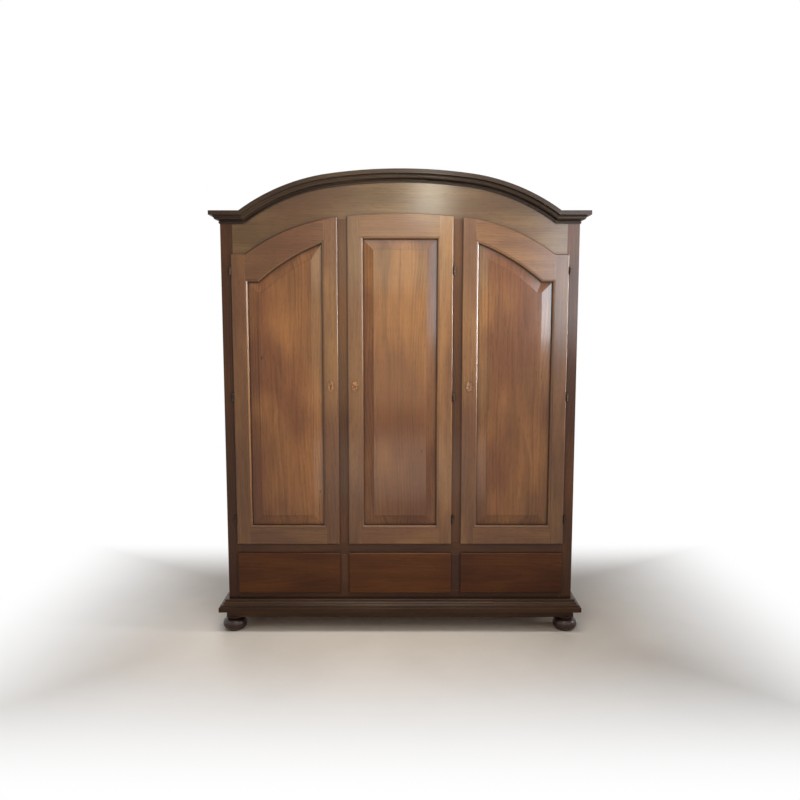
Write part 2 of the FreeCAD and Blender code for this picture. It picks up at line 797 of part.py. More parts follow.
mortises = []
for name, sign, hinge_side in DOORS:
    mortises.append(box(name + "_lock_mortise",
                        lock_span(sign, hinge_side, "lip_overlap - bolt_throw - mortise_gap",
                                  "lip_overlap + cut_overrun"),
                        around("bolt_middle", "bolt_thickness / 2 + mortise_gap"),
                        around("key_level", "bolt_height / 2 + mortise_gap")))
mid_blanks = [box(f"{name}_mid_post", around(f"{sign} * mid_centre", "mid_half"), post_deep,
                  ("door_floor", "door_ceiling")) for name, sign in (("left", -1), ("right", 1))]
node(cut("mid_posts", group("mid_post_blanks", mid_blanks), [frieze, frame_hinges, *mortises]))
node(cut("front_posts", group("front_post_blanks", front_blanks), [side_panels, frame_hinges]))

# Inside: partition, shelves on cleats, hanging rail and drawer guides

node(box("partition", around("-mid_centre", "partition_half"), ("post_back", "back_front"),
         ("door_floor", "door_ceiling")))
shelves = []
cleats = []
for index in range(SHELF_COUNT):
    level = f"door_floor + {index + 1} * shelf_pitch"
    shelves.append(box(f"shelf_{index + 1}", ("-side_inner", "-mid_centre - partition_half"),
                       ("post_back + shelf_setback", "back_front"), (level, f"{level} + board_thickness")))
    for end, across in (("wall", ("-side_inner", "-side_inner + cleat_height")),
                        ("partition", ("-mid_centre - partition_half - cleat_height",
                                       "-mid_centre - partition_half"))):
        cleats.append(box(f"shelf_{index + 1}_{end}_cleat", across, ("post_back", "back_front"),
                          (f"{level} - cleat_height", level)))
node(group("shelves", shelves))
node(group("shelf_cleats", cleats))

LYING = FreeCAD.Rotation(FreeCAD.Vector(0, 1, 0), 90)
rail_start = ("-mid_centre + partition_half", "rail_back", "rail_level")
rail_length = "panel_inner + mid_centre - partition_half"
tube = rod("hanging_tube", "rail_radius", rail_length, rail_start, LYING)
bore = rod("hanging_tube_bore", "rail_radius - rail_wall", rail_length, rail_start, LYING)
node(cut("hanging_rail", tube, [bore]))
sockets = []
for name, radius, length in (("collar", "socket_collar", "socket_length"),
                             ("flange", "socket_radius", "socket_flange")):
    for end, across in (("left", rail_start[0]), ("right", f"panel_inner - {length}")):
        sockets.append(rod(f"{end}_socket_{name}", radius, length, (across, *rail_start[1:]), LYING))
hollow = rod("socket_bores", "rail_radius + socket_gap", rail_length, rail_start, LYING)
node(cut("rail_sockets", fuse("socket_blanks", sockets), [hollow]))

guide_high = ("drawer_floor", "drawer_floor + guide_height")
guides = []
for name, sign in (("left", -1), ("right", 1)):
    guides.append(box(f"{name}_middle_guide", around(f"{sign} * mid_centre", "mid_half"),
                      ("frame_back", "back_front"), guide_high))
    guides.append(box(f"{name}_side_guide", sided(sign, "post_inner", "side_inner"),
                      ("post_back", "back_front"), guide_high))
node(group("drawer_guides", guides))

# Doors: two stiles and two rails round a raised panel, with hinges, lock, bolt and key plate


def door_frame(sign):
    """A lipped frame with its panel opening, its moulded inner edge and the groove for the panel."""
    front, back, lip_back = value("lip_front"), value("door_back"), value("lip_back")
    lip = rounded(slab(sign, 0, 0, front, lip_back), value("lip_round"), front)
    inset = value("lip_overlap + edge_gap")
    blank = lip.fuse(slab(sign, inset, inset, lip_back, back))
    overrun = value("cut_overrun")
    blank = blank.cut(prism(opening_wire(sign, 0), front - overrun, back + overrun))
    quirk = front + value("quirk_depth")
    blank = blank.cut(prism(opening_wire(sign, value("sticking_width")), front - overrun, quirk))
    blank = blank.cut(moulded_edge(sign, quirk))
    tongue = value("tongue_front")
    return blank.cut(prism(opening_wire(sign, value("tongue_depth")), tongue,
                           tongue + value("tongue_thickness")))


def door_panel(sign):
    """A panel with a tongue all round and a raised field inside a wide bevel."""
    base, rise, step = value("tongue_front"), value("bevel_rise"), value("field_step")
    tongue = prism(opening_wire(sign, value("tongue_depth")), base, base + value("tongue_thickness"))
    low, high = opening_wire(sign, 0), opening_wire(sign, -value("bevel_width"))
    low.translate(FreeCAD.Vector(0, base, 0))
    high.translate(FreeCAD.Vector(0, base - rise, 0))
    bevel = Part.makeLoft([low, high], True, True)
    field = prism(opening_wire(sign, -value("bevel_width")), base - rise - step, base - rise)
    return tongue.fuse([bevel, field])


def keyhole(name, sign, hinge_side, back):
    """The cutting shape of a keyhole from in front of the key plate to a plane behind it."""
    across = lock_side(sign, hinge_side, "keyhole_in")
    front = "lip_front - plate_thickness - plate_rim_height - cut_overrun"
    facing = FreeCAD.Rotation(FreeCAD.Vector(1, 0, 0), 90)
    round_part = rod(name + "_keyhole_round", "key_radius", f"{back} - ({front})",
                     (across, back, "key_level"), facing)
    slot = box(name + "_keyhole_slot", around(across, "key_slot_width / 2"), (front, back),
               ("key_level - key_slot_drop", "key_level"))
    return fuse(name + "_keyhole", [round_part, slot])


def oval(name, across, wider, thickness):
    """An upright oval plate on the front of a door, wider than the key plate by so much."""
    edge = doc.addObject("Part::Ellipse", name + "_edge")
    bind(edge, "MajorRadius", f"plate_half_height + {wider}")
    bind(edge, "MinorRadius", f"plate_half_width + {wider}")
    edge.Placement = FreeCAD.Placement(
        FreeCAD.Vector(), FreeCAD.Rotation(FreeCAD.Vector(0, 0, 1), FreeCAD.Vector(1, 0, 0),
                                           FreeCAD.Vector(0, -1, 0), "ZXY"))
    for axis, text in zip("xyz", (across, "lip_front", "key_level")):
        bind(edge, f"Placement.Base.{axis}", text)
    item = doc.addObject("Part::Extrusion", name)
    item.Base = edge
    item.DirMode = "Custom"
    item.Dir = (0, -1, 0)
    item.Solid = True
    bind(item, "LengthFwd", thickness)
    return item


for name, sign, hinge_side in DOORS:
    door = f"door_{name}"
    leaves = []
    knuckles = []
    bores = []
    for hinge, axis, level in hinge_rows(name, sign, hinge_side):
        foot = (axis, "hinge_line", f"{level} + knuckle_split")
        high = (foot[2], f"{foot[2]} + knuckle_height")
        reach = f"{axis} - {hinge_side} * (knuckle_radius + knuckle_gap + leaf_depth)"
        leaves.append(box(hinge + "_door_leaf", (reach, axis) if hinge_side > 0 else (axis, reach),
                          around("hinge_line", "leaf_thickness / 2"), high))
        knuckles.append(rod(hinge + "_door_knuckle", "knuckle_radius", "knuckle_height", foot))
        bores.append(rod(hinge + "_door_bore", "pin_radius + pin_gap", "knuckle_height", foot))
    hinges = node(cut(door + "_hinges", fuse(door + "_hinge_blanks", [*leaves, *knuckles]), bores))

    case_edge = "lip_overlap + edge_gap"
    case_blank = box(door + "_case_blank",
                     lock_span(sign, hinge_side, case_edge, f"{case_edge} + case_width"),
                     ("case_front", "door_back"), around("key_level", "case_height / 2"))
    bolt_start = f"{case_edge} + bolt_gap"
    node(box(door + "_bolt",
             lock_span(sign, hinge_side, bolt_start, f"{bolt_start} + bolt_length"),
             around("bolt_middle", "bolt_thickness / 2"), around("key_level", "bolt_height / 2")))
    way = box(door + "_bolt_way",
              lock_span(sign, hinge_side, f"{case_edge} - cut_overrun",
                        f"{bolt_start} + bolt_length + bolt_gap"),
              around("bolt_middle", "bolt_thickness / 2 + bolt_gap"),
              around("key_level", "bolt_height / 2 + bolt_gap"))
    hole = keyhole(door, sign, hinge_side, "bolt_middle")
    node(cut(door + "_lock_case", case_blank, [way, hole]))

    across = lock_side(sign, hinge_side, "keyhole_in")
    plate = oval(door + "_plate", across, "0", "plate_thickness")
    full_thickness = "plate_thickness + plate_rim_height"
    rim = cut(door + "_rim", oval(door + "_rim_outer", across, "0", full_thickness),
              [oval(door + "_rim_inner", across, "-plate_rim", f"{full_thickness} + cut_overrun")])
    node(cut(door + "_key_plate", fuse(door + "_key_plate_blank", [plate, rim]), [hole]))

    frame = door_frame(sign)
    stiles = [stile_region(sign, 0, -1), stile_region(sign, 1, 2)]
    node(shaped(door + "_rails", frame.cut(stiles)))
    stile_blanks = shaped(door + "_stile_blanks", Part.makeCompound([frame.common(one) for one in stiles]))
    node(cut(door + "_stiles", stile_blanks, [hinges, case_blank, hole]))
    node(shaped(door + "_panel", door_panel(sign)))

# Drawers: a lipped front and a box of two sides, a back and a bottom


def drawer_front(name, middle):
    """A board with a rounded lip and a thinner part that stands in the opening."""
    body = doc.addObject("PartDesign::Body", name)

    def layer(part, *spans):
        item = body.newObject("PartDesign::AdditiveBox", f"{name}_{part}")
        for axis, size, (low, high) in zip("xyz", ("Length", "Width", "Height"), spans):
            bind(item, size, f"({high}) - ({low})")
            bind(item, f"Placement.Base.{axis}", low)
        doc.recompute()
        return item

    lip = layer("lip", around(middle, "door_width / 2"), ("lip_front", "lip_back"),
                ("drawer_low", "drawer_high"))
    rounding = body.newObject("PartDesign::Fillet", name + "_rounding")
    rounding.Base = (lip, [f"Edge{index}" for index, edge in enumerate(lip.Shape.Edges, start=1)
                           if edge.BoundBox.YMax < value("(lip_front + lip_back) / 2")])
    bind(rounding, "Radius", "lip_round")
    layer("inset", around(middle, "inset_half"), ("lip_back", "door_back"),
          ("drawer_low + lip_overlap + edge_gap", "drawer_high - lip_overlap - edge_gap"))
    return body


for name, sign, _ in DOORS:
    middle = f"{sign} * door_pitch"
    node(drawer_front(f"drawer_{name}_front", middle))
    box_name = f"drawer_{name}_box"
    high = ("drawer_floor + run_gap", "drawer_floor + run_gap + box_height")
    deep = ("door_back", "door_back + box_length")
    inner = (f"{middle} - inset_half + box_thickness", f"{middle} + inset_half - box_thickness")
    low = f"{high[0]} + box_bottom_lift"
    node(group(box_name, [
        box(box_name + "_left", (f"{middle} - inset_half", inner[0]), deep, high),
        box(box_name + "_right", (inner[1], f"{middle} + inset_half"), deep, high),
        box(box_name + "_back", inner, (f"{deep[1]} - box_thickness", deep[1]), high),
        box(box_name + "_bottom", inner, (deep[0], f"{deep[1]} - box_thickness"),
            (low, f"{low} + box_bottom_thickness")),
    ]))

doc.recompute()
for item in doc.Objects:
    if "Invalid" in item.State or "Error" in item.State:
        raise RuntimeError(f"{item.Name} failed: {item.State}")
for item in nodes:
    if item.Shape.isNull() or not item.Shape.isValid() or not item.Shape.Solids:
        raise RuntimeError(f"{item.Name} has no sound shape")
os.makedirs("parts", exist_ok=True)
for item in nodes:
    item.Shape.exportStep(f"parts/{item.Label}.step")
    print(item.Label, len(item.Shape.Solids), round(item.Shape.Volume))
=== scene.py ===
import math

import bpy
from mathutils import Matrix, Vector


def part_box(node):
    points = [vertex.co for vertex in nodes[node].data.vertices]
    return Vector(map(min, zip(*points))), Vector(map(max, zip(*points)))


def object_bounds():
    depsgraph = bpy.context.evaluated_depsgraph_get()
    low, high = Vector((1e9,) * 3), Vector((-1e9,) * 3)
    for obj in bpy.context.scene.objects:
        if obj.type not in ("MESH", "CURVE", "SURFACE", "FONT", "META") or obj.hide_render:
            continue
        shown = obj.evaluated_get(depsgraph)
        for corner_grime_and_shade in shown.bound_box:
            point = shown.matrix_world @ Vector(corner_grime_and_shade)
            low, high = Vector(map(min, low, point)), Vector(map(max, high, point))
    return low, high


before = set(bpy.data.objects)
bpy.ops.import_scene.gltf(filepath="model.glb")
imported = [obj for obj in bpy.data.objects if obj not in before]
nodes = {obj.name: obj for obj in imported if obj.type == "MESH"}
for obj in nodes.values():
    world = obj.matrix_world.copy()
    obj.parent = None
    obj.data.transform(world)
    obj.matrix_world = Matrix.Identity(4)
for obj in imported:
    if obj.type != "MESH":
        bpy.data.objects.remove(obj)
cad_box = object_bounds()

# A varnished hardwood wardrobe, seen from the front in soft light from the right. Metres, with X
# to the viewer's right, the doors facing -Y, Z up and the origin on the floor.

WHITE = (1, 1, 1, 1)
BEVEL_SAMPLES = 4
OCCLUSION_SAMPLES = 6


def linear(red, green, blue):
    """An sRGB colour of 0 to 255 as a linear colour of 0 to 1, with full cover."""
    parts = []
    for level in (red, green, blue):
        share = level / 255
        parts.append(share / 12.92 if share <= 0.04045 else ((share + 0.055) / 1.055) ** 2.4)
    return (*parts, 1)


class Tree:
    """Short ways to add nodes to a node tree; most return the socket that the node gives."""

    def __init__(self, tree):
        self.tree = tree

    def feed(self, item, inputs):
        """Give a node its inputs, each a socket to link or a plain value."""
        for key, source in dict(inputs).items():
            if isinstance(source, bpy.types.NodeSocket):
                self.tree.links.new(source, item.inputs[key])
            else:
                item.inputs[key].default_value = source

    def node(self, kind, inputs=(), **settings):
        """A node of that kind, with its settings and inputs."""
        item = self.tree.nodes.new(kind)
        for name, setting in settings.items():
            setattr(item, name, setting)
        self.feed(item, inputs)
        return item

    def add(self, kind, inputs=(), output=0, **settings):
        """The output of a new node."""
        return self.node(kind, inputs, **settings).outputs[output]

    def math(self, operation, first, second=0.0):
        """An operation on one or two numbers."""
        return self.add("ShaderNodeMath", {0: first, 1: second}, operation=operation)

    def vector(self, operation, first, second):
        """An operation on two vectors."""
        return self.add("ShaderNodeVectorMath", {0: first, 1: second}, operation=operation)

    def parts(self, vector):
        """A vector's three numbers."""
        return list(self.node("ShaderNodeSeparateXYZ", {0: vector}).outputs)

    def joined(self, first, second, third):
        """Three numbers as one vector."""
        return self.add("ShaderNodeCombineXYZ", {0: first, 1: second, 2: third})

    def noise(self, place, waves, detail=2.0, roughness=0.5):
        """Noise of a level about 0.5, with so many waves to a metre in each direction."""
        return self.add("ShaderNodeTexNoise",
                        {"Vector": self.vector("MULTIPLY", place, waves), "Scale": 1.0,
                         "Detail": detail, "Roughness": roughness})

    def span(self, value, low, high, new_low=0.0, new_high=1.0):
        """The value's place between two levels, eased, as a place between two others."""
        return self.add("ShaderNodeMapRange",
                        {0: value, 1: low, 2: high, 3: new_low, 4: new_high},
                        interpolation_type="SMOOTHSTEP")

    def blend(self, share, first, second, mode="MIX"):
        """One colour mixed into another, by the mix node's colour sockets, 6, 7 and 2."""
        return self.add("ShaderNodeMix", {0: share, 6: first, 7: second}, output=2,
                        data_type="RGBA", blend_type=mode)

    def occlusion(self, distance, inside=False):
        """1 in the open and 0 in a corner; inside, 1 on a face and lower along an edge."""
        return self.add("ShaderNodeAmbientOcclusion", {"Distance": distance}, output="AO",
                        samples=OCCLUSION_SAMPLES, inside=inside, only_local=inside)

    def relief(self, height, radius, strength, depth):
        """A normal with its edges rounded to a radius and a height pressed in so deep."""
        soft = self.add("ShaderNodeBevel", {"Radius": radius}, samples=BEVEL_SAMPLES)
        return self.add("ShaderNodeBump", {"Strength": strength, "Distance": depth,
                                           "Height": height, "Normal": soft})

    def seen(self):
        """1 for what the camera sees straight, in a gloss or through glass, and 0 for light."""
        path = self.node("ShaderNodeLightPath").outputs
        gloss = self.math("MAXIMUM", path["Is Glossy Ray"], path["Is Transmission Ray"])
        return self.math("MAXIMUM", path["Is Camera Ray"], gloss)


def new_material(name):
    """A material, its node tree and its shader."""
    material = bpy.data.materials.new(name)
    material.use_nodes = True
    tree = material.node_tree
    return material, Tree(tree), tree.nodes["Principled BSDF"]


# Wood

# Growth rings: their spacing, the pith's depth behind the face, how far the pith wanders, how far
# the rings curl off a circle, and the range of their taper in each metre along the board
RING_SPACING = 0.0125
PITH_DEPTH = 0.05
BEND = 0.16
CURL = 0.016
TAPER = 0.05
# The part of a plank's width over which its pith may lie, and how far a plank may be moved
# through the noise in each direction
PITH_SPREAD = 0.35
PLANK_SHIFT = (11, 7, 13)
# The middle of a noise, of a chance and of a plank, and the noise at which the pith lies at its
# own depth
HALF = 0.5
SWELL_LEVEL = 0.3
# Waves to a metre across a board, through it and along it, layers of detail and their roughness
NOISES = {
    "bend": ((1.8, 1.8, 0.8), 1),
    "curl": ((11, 11, 3.2), 3),
    "swell": ((1.1, 1.1, 0.6), 1),
    "ring_strength": ((24, 24, 1.3), 2),
    "fibres": ((190, 190, 3.6), 5, 0.66),
    "pores": ((850, 850, 26), 1),
    "patches": ((6.5, 6.5, 1.3), 3, 0.55),
    "warmth": ((3.2, 3.2, 1.7), 2),
}
# The levels at which each effect starts and is full, then its strength at each if not 0 and 1
BANDS = {
    "ring_rise": (0.1, 0.85),
    "ring_fall": (0.88, 1.0, 1.0, 0.0),
    "ring_strength": (0.36, 0.64, 0.1, 1.0),
    "pores": (0.58, 0.72),
    "mid_patches": (0.34, 0.64),
    "red_patches": (0.42, 0.66, 0.0, 0.8),
    "dark_fibres": (0.46, 0.8, 0.0, 0.55),
    "light_fibres": (0.42, 0.24, 0.0, 0.45),
    "plank_shade": (0.0, 1.0, 0.88, 1.1),
    "grime_and_shade": (0.97, 0.5, 0.0, 0.92),
    "edge": (0.82, 0.45),
    "worn_patches": (0.4, 0.62, 0.05, 0.35),
    "roughness": (0.3, 0.7, 0.36, 0.5),
    "dull_metal": (0.4, 0.62),
    "metal_grime_and_shade": (0.8, 0.2, 0.0, 0.8),
    "metal_roughness": (0.35, 0.65),
    "floor_cloud": (0.3, 0.7),
}


def grain_group():
    """The rings, fibres, pores and patches of a board, from a place across, deep and along it."""
    tree = bpy.data.node_groups.new("grain", "ShaderNodeTree")
    tree.interface.new_socket(name="Grain", in_out="INPUT", socket_type="NodeSocketVector")
    for name in ("Seed", "Start", "Plank", "Level"):
        tree.interface.new_socket(name=name, in_out="INPUT", socket_type="NodeSocketFloat")
    for name in ("Rings", "Fibres", "Pores", "Patches", "Warmth", "Tone"):
        tree.interface.new_socket(name=name, in_out="OUTPUT", socket_type="NodeSocketFloat")
    t = Tree(tree)
    given = tree.nodes.new("NodeGroupInput").outputs
    across, deep, along = t.parts(given["Grain"])

    # The plank that the place lies in, its middle, and its own place in the noise
    from_start = t.math("SUBTRACT", across, given["Start"])
    cell = t.math("FLOOR", t.math("DIVIDE", from_start, given["Plank"]))
    middle = t.math("ADD", given["Start"],
                    t.math("MULTIPLY", t.math("ADD", cell, HALF), given["Plank"]))
    chance = t.add("ShaderNodeTexWhiteNoise", {"Vector": t.joined(cell, given["Seed"], 0.0)},
                   output="Color")
    chances = t.parts(chance)
    place = t.vector("ADD", given["Grain"], t.vector("MULTIPLY", chance, PLANK_SHIFT))

    # The distance from the pith, bent, curled and widening along the board, cut into rings
    bend = t.math("SUBTRACT", t.noise(place, *NOISES["bend"]), HALF)
    curl = t.math("SUBTRACT", t.noise(place, *NOISES["curl"]), HALF)
    swell = t.math("SUBTRACT", t.noise(place, *NOISES["swell"]), SWELL_LEVEL)
    aside = t.math("MULTIPLY", t.math("SUBTRACT", chances[0], HALF),
                   t.math("MULTIPLY", given["Plank"], PITH_SPREAD))
    from_pith = t.math("SUBTRACT", t.math("SUBTRACT", across, middle), aside)
    from_pith = t.math("ADD", from_pith, t.math("MULTIPLY", bend, BEND))
    depth = t.math("SUBTRACT", deep, given["Level"])
    depth = t.math("ADD", depth, t.math("ADD", t.math("MULTIPLY", swell, BEND), PITH_DEPTH))
    radius = t.math("SQRT", t.math("ADD", t.math("MULTIPLY", from_pith, from_pith),
                                   t.math("MULTIPLY", depth, depth)))
    radius = t.math("ADD", radius, t.math("MULTIPLY", curl, CURL))
    taper = t.math("MULTIPLY", t.math("SUBTRACT", chances[2], HALF), TAPER)
    radius = t.math("ADD", radius, t.math("MULTIPLY", along, taper))
    ring = t.math("FRACT", t.math("DIVIDE", radius, RING_SPACING))
    rings = t.math("MULTIPLY", t.span(ring, *BANDS["ring_rise"]),
                   t.span(ring, *BANDS["ring_fall"]))
    strength = t.noise(place, *NOISES["ring_strength"])
    rings = t.math("MULTIPLY", rings, t.span(strength, *BANDS["ring_strength"]))

    t.feed(tree.nodes.new("NodeGroupOutput"), {
        "Rings": rings,
        "Fibres": t.noise(place, *NOISES["fibres"]),
        "Pores": t.span(t.noise(place, *NOISES["pores"]), *BANDS["pores"]),
        "Patches": t.noise(place, *NOISES["patches"]),
        "Warmth": t.noise(place, *NOISES["warmth"]),
        "Tone": chances[1],
    })
    return tree


GRAIN = grain_group()
# The axes across a board, through it and along it, for each way of its grain; the grain of a
# board that faces sideways runs up
ORDERS = {"X": (2, 1, 0), "Y": (2, 0, 1), "Z": (0, 1, 2), "side": (1, 0, 2)}
# Each wood's light, middle, red and dark colour. The drawer, dark and post woods, and less so the
# mid_post wood, are darker than the door frames partly as painted shade.
WOODS = {
    "panel": ((130, 86, 47), (96, 61, 32), (91, 51, 27), (51, 30, 15)),
    "frame": ((121, 84, 48), (94, 61, 33), (90, 54, 31), (55, 35, 19)),
    "frieze": ((110, 83, 51), (85, 62, 37), (82, 55, 34), (53, 36, 23)),
    # Partly painted shade: darker for the light falling off towards the bottom
    "drawer": ((92, 53, 22), (70, 38, 16), (70, 33, 15), (41, 21, 9)),
    # Partly painted shade: darker for the light grazing the posts
    "post": ((86, 54, 32), (66, 41, 24), (61, 35, 22), (42, 25, 15)),
    # Partly painted shade: between the frame and post woods, for the light grazing the posts
    "mid_post": ((100, 61, 30), (77, 45, 21), (74, 41, 17), (46, 26, 12)),
    "cornice": ((66, 51, 38), (50, 37, 28), (48, 34, 25), (30, 22, 16)),
    # Partly painted shade: darker for the light falling off towards the base
    "dark": ((75, 51, 32), (56, 37, 23), (56, 33, 19), (34, 22, 13)),
    "foot": ((54, 32, 25), (38, 22, 17), (42, 18, 14), (24, 13, 10)),
    "inner": ((186, 144, 100), (161, 117, 78), (163, 109, 71), (117, 80, 51)),
}
# The share of a wood's dark colour in its rings, and its varnish's coat weight, coat roughness
# and specular level
FINISHES = {
    "panel": (0.32, 0.55, 0.14, 0.1),
    "frame": (0.2, 0.6, 0.2, 0.12),
    "frieze": (0.15, 0.55, 0.19, 0.1),
    "drawer": (0.3, 0.2, 0.2, 0.06),
    "post": (0.3, 0.25, 0.18, 0.08),
    "mid_post": (0.3, 0.4, 0.16, 0.08),
    "cornice": (0.3, 0.22, 0.22, 0.07),
    "dark": (0.3, 0.25, 0.2, 0.06),
    "foot": (0.2, 0.5, 0.04, 0.15),
    "inner": (0.4, 0.1, 0.3, 0.2),
}
PORE = linear(30, 16, 9)
# The colour of grime and of painted shade in corners, creases and recesses
GRIME_AND_SHADE = linear(18, 10, 6)
WEAR = linear(178, 130, 88)
# How far grime and painted shade spread from a corner and wear from an edge
GRIME_AND_SHADE_REACH = 0.022
WEAR_REACH = 0.0018
# The share of their own colour in pores, the roughness they add, and the fibres' height beside a
# pore's depth of 1
PORE_SHARE = 0.5
PORE_ROUGHNESS = 0.12
FIBRE_HEIGHT = 0.5
# The scale on which an upright knot is round, the part of its size in which it is full, and the
# share of the pores' colour there
KNOT_STRETCH = (1, 1, 0.4)
KNOT_CORE = 0.3
KNOT_SHARE = 0.85
# The radius of rounded edges, and the strength and depth of the surface's relief
WOOD_RELIEF = (0.0025, 0.3, 0.00025)
METAL_RELIEF = (0.0004, 0.25, 0.0001)
# The start and the width of one plank that takes in any whole piece
BOARD_START = -5.0
BOARD_PLANK = 10.0


def wood(name, kind, along, seed, start=BOARD_START, plank=BOARD_PLANK, level=0.0, knots=()):
    """A wooden piece's material: its kind, the way of its grain and a seed for its figure.

    Start and plank lay out its planks across the grain, the pith's depth is counted from level,
    and each knot has its place across, its height and its size.
    """
    figure, coat, coat_roughness, specular = FINISHES[kind]
    light, mid, red, dark = [linear(*colour) for colour in WOODS[kind]]
    material, t, shader = new_material(name)
    places = t.parts(t.add("ShaderNodeTexCoord", output="Object"))
    grain = t.joined(*[places[index] for index in ORDERS[along]])
    board = t.node("ShaderNodeGroup", {"Grain": grain, "Seed": seed, "Start": start,
                                       "Plank": plank, "Level": level}, node_tree=GRAIN)
    rings, fibres, pores, patches, warmth, tone = board.outputs

    # Bare wood: patches, rings, fibres and pores, and each plank a shade of its own
    colour = t.blend(t.span(patches, *BANDS["mid_patches"]), light, mid)
    colour = t.blend(t.span(warmth, *BANDS["red_patches"]), colour, red)
    colour = t.blend(t.math("MULTIPLY", rings, figure), colour, dark)
    colour = t.blend(t.span(fibres, *BANDS["dark_fibres"]), colour, dark)
    colour = t.blend(t.span(fibres, *BANDS["light_fibres"]), colour, light)
    colour = t.blend(t.math("MULTIPLY", pores, PORE_SHARE), colour, PORE)
    shade = t.span(tone, *BANDS["plank_shade"])
    colour = t.blend(1.0, colour, t.joined(shade, shade, shade), "MULTIPLY")

    # Knots, grime and painted shade darkening the corners, and wear along the edges
    for across, height, size in knots:
        spot = t.vector("SUBTRACT", t.joined(places[0], 0.0, places[2]), (across, 0, height))
        reach = t.add("ShaderNodeVectorMath", {0: t.vector("MULTIPLY", spot, KNOT_STRETCH)},
                      output="Value", operation="LENGTH")
        ragged = t.math("MULTIPLY", t.math("SUBTRACT", fibres, HALF), size)
        reach = t.math("ADD", reach, ragged)
        colour = t.blend(t.span(reach, size, KNOT_CORE * size, 0.0, KNOT_SHARE), colour, PORE)
    # Painted shade and grime: the colour darkens where occlusion finds a corner or recess
    colour = t.blend(t.span(t.occlusion(GRIME_AND_SHADE_REACH), *BANDS["grime_and_shade"]), colour, GRIME_AND_SHADE)
    edge = t.span(t.occlusion(WEAR_REACH, inside=True), *BANDS["edge"])
    edge = t.math("MULTIPLY", edge, t.span(patches, *BANDS["worn_patches"]))
    colour = t.blend(edge, colour, WEAR)

    rough = t.span(fibres, *BANDS["roughness"])
    rough = t.math("ADD", rough, t.math("MULTIPLY", pores, PORE_ROUGHNESS))
    height = t.math("SUBTRACT", t.math("MULTIPLY", fibres, FIBRE_HEIGHT), pores)
    t.feed(shader, {"Base Color": colour, "Roughness": rough,
                    "Normal": t.relief(height, *WOOD_RELIEF), "Coat Weight": coat,
                    "Coat Roughness": coat_roughness, "Specular IOR Level": specular})
    return material


# Metal

# How far grime and painted shade spread from a corner of the metal
METAL_GRIME_AND_SHADE_REACH = 0.006
# Waves to a metre of dull spots, of those on metal brushed along X and of the fine relief, and
# the spots' layers of detail and their roughness
SPOT_WAVES = (90, 90, 90)
BRUSHED_WAVES = (12, 240, 240)
FINE_WAVES = (900, 900, 900)
SPOT_DETAIL = (4, 0.6)


def metal(name, bright, dull, low, high, waves=SPOT_WAVES):
    """Old metal, dull in spots and darkened in its corners by grime and painted shade, of a
    roughness between low and high.
    """
    material, t, shader = new_material(name)
    place = t.add("ShaderNodeTexCoord", output="Object")
    spots = t.noise(place, waves, *SPOT_DETAIL)
    fine = t.noise(place, FINE_WAVES)
    colour = t.blend(t.span(spots, *BANDS["dull_metal"]), linear(*bright), linear(*dull))
    # Painted shade and grime: the metal darkens where occlusion finds a corner or hole
    corner_grime_and_shade = t.span(t.occlusion(METAL_GRIME_AND_SHADE_REACH), *BANDS["metal_grime_and_shade"])
    colour = t.blend(corner_grime_and_shade, colour, GRIME_AND_SHADE)
    rough = t.span(spots, *BANDS["metal_roughness"], low, high)
    t.feed(shader, {"Base Color": colour, "Roughness": rough,
                    "Normal": t.relief(fine, *METAL_RELIEF), "Metallic": 1.0})
    return material


BRASS = metal("aged_brass", (128, 100, 76), (84, 61, 45), 0.35, 0.5)
STEEL = metal("dark_steel", (68, 54, 45), (42, 32, 27), 0.42, 0.58)
RAIL = metal("brushed_rail", (178, 172, 160), (150, 142, 128), 0.24, 0.4, BRUSHED_WAVES)

# The pieces

DOOR_NAMES = ("left", "middle", "right")
# Each door's knots: place across, height and size
KNOTS = {"left": ((-0.392, 0.705, 0.004), (-0.372, 0.707, 0.0035), (-0.665, 1.36, 0.005)),
         "middle": ((0.104, 0.905, 0.004),),
         "right": ((0.655, 1.29, 0.003),)}
# What the pieces of a door and its drawer add to the door's number to make their seeds
PANEL_SEED, STILE_SEED, RAIL_SEED, FRONT_SEED, BOX_SEED = 0.1, 0.2, 0.3, 0.4, 0.5
# A drawer front is one plank, from this height on and so wide
FRONT_START = 0.19
FRONT_PLANK = 0.21
BACK_BOARD_COUNT = 6
# The other wooden pieces: node, kind of wood and way of the grain
BOARDS = (
    ("frieze_board", "frieze", "X"), ("mid_rail", "post", "X"), ("bottom_rail", "post", "X"),
    ("front_posts", "post", "Z"), ("mid_posts", "mid_post", "Z"), ("rear_posts", "post", "side"),
    ("drawer_dividers", "post", "Z"), ("side_panels", "mid_post", "side"),
    ("side_rails", "mid_post", "Y"), ("cornice_arch", "cornice", "X"),
    ("cornice_ends", "cornice", "X"), ("cornice_returns", "cornice", "Y"),
    ("base_long_boards", "dark", "X"), ("base_side_boards", "dark", "Y"),
    ("base_moulding_front", "dark", "X"), ("base_moulding_sides", "dark", "Y"),
    ("foot_front_left", "foot", "Z"), ("foot_front_right", "foot", "Z"),
    ("foot_rear_left", "foot", "Z"), ("foot_rear_right", "foot", "Z"),
    ("base_corner_blocks", "inner", "Z"), ("bottom_board", "inner", "X"),
    ("compartment_floor", "inner", "X"), ("top_board", "inner", "X"),
    ("partition", "inner", "side"), ("shelves", "inner", "X"), ("shelf_cleats", "inner", "Y"),
    ("drawer_guides", "inner", "Y"),
)


def dress(node, material):
    """Give a node's mesh one material."""
    for place in nodes[node].material_slots:
        place.material = material


